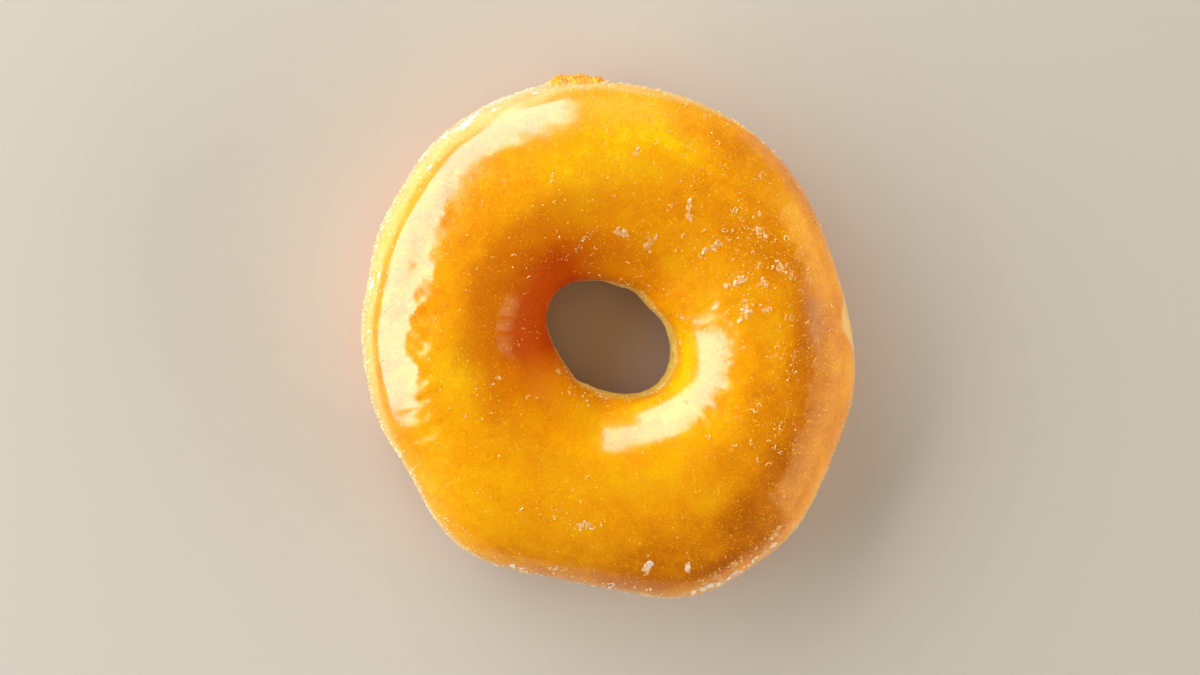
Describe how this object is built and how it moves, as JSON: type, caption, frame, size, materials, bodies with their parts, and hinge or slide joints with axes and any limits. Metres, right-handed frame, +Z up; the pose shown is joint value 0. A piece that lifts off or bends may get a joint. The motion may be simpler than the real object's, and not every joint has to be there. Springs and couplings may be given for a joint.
{
  "type": "glazed ring doughnut",
  "caption": "Whole raised ring doughnut with a sugar glaze: an uneven ring of fried dough with an oval hole, a pale waist belt and a flat underside to rest on.",
  "frame": {"origin": "centre of the footprint's bounding box, on the surface that the doughnut rests on", "axes": "+Z up through the hole, out of the glazed crown; +Y along the longer way across, towards the torn scrap on the rim; +X to the right of it"},
  "size_m": [0.0922, 0.098, 0.0281],
  "materials": {
    "glazed_crust": "golden fried crust under a thin clear sugar glaze, gloss, with a paler matt belt at mid-height"
  },
  "bodies": {
    "root": {"doughnut_ring": "glazed_crust"}
  },
  "joints": []
}
